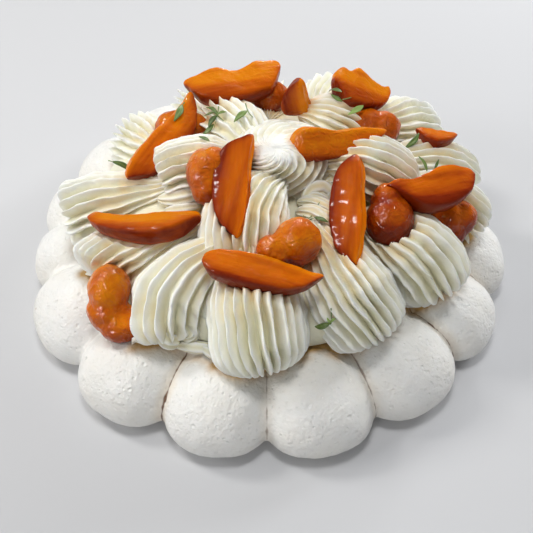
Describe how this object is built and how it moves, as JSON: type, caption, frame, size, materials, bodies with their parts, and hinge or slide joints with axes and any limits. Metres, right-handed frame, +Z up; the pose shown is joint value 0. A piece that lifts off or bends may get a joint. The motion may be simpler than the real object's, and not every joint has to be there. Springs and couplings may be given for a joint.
{
  "type": "pavlova",
  "caption": "Round pavlova: a meringue base ringed with domes, piped fluted cream shells in two tiers, glazed apricot wedges and halves, and thyme leaves.",
  "frame": {"origin": "centre of the flat underside of the meringue", "axes": "+Z up, -Y towards the front, +X to the right as seen from the front"},
  "size_m": [0.2319, 0.2369, 0.086],
  "materials": {
    "meringue": "satin",
    "cream": "satin",
    "apricot": "gloss",
    "thyme": "satin"
  },
  "bodies": {
    "root": {"apricot_half_01": "apricot", "apricot_half_02": "apricot", "apricot_half_03": "apricot", "apricot_half_04": "apricot", "apricot_half_05": "apricot", "apricot_half_06": "apricot", "apricot_half_07": "apricot", "apricot_half_08": "apricot", "apricot_wedge_01": "apricot", "apricot_wedge_02": "apricot", "apricot_wedge_03": "apricot", "apricot_wedge_04": "apricot", "apricot_wedge_05": "apricot", "apricot_wedge_06": "apricot", "apricot_wedge_07": "apricot", "apricot_wedge_08": "apricot", "apricot_wedge_09": "apricot", "apricot_wedge_10": "apricot", "apricot_wedge_11": "apricot", "cream_bed": "cream", "cream_rosette": "cream", "cream_shell_back": "cream", "cream_shell_back_east": "cream", "cream_shell_back_left": "cream", "cream_shell_back_right": "cream", "cream_shell_back_west": "cream", "cream_shell_front": "cream", "cream_shell_front_left": "cream", "cream_shell_front_right": "cream", "cream_shell_left": "cream", "cream_shell_left_low": "cream", "cream_shell_right": "cream", "cream_shell_right_back": "cream", "cream_shell_right_low": "cream", "cream_shell_upper_back": "cream", "cream_shell_upper_back_left": "cream", "cream_shell_upper_front": "cream", "cream_shell_upper_left": "cream", "cream_shell_upper_right": "cream", "meringue_base": "meringue"}
  },
  "joints": []
}
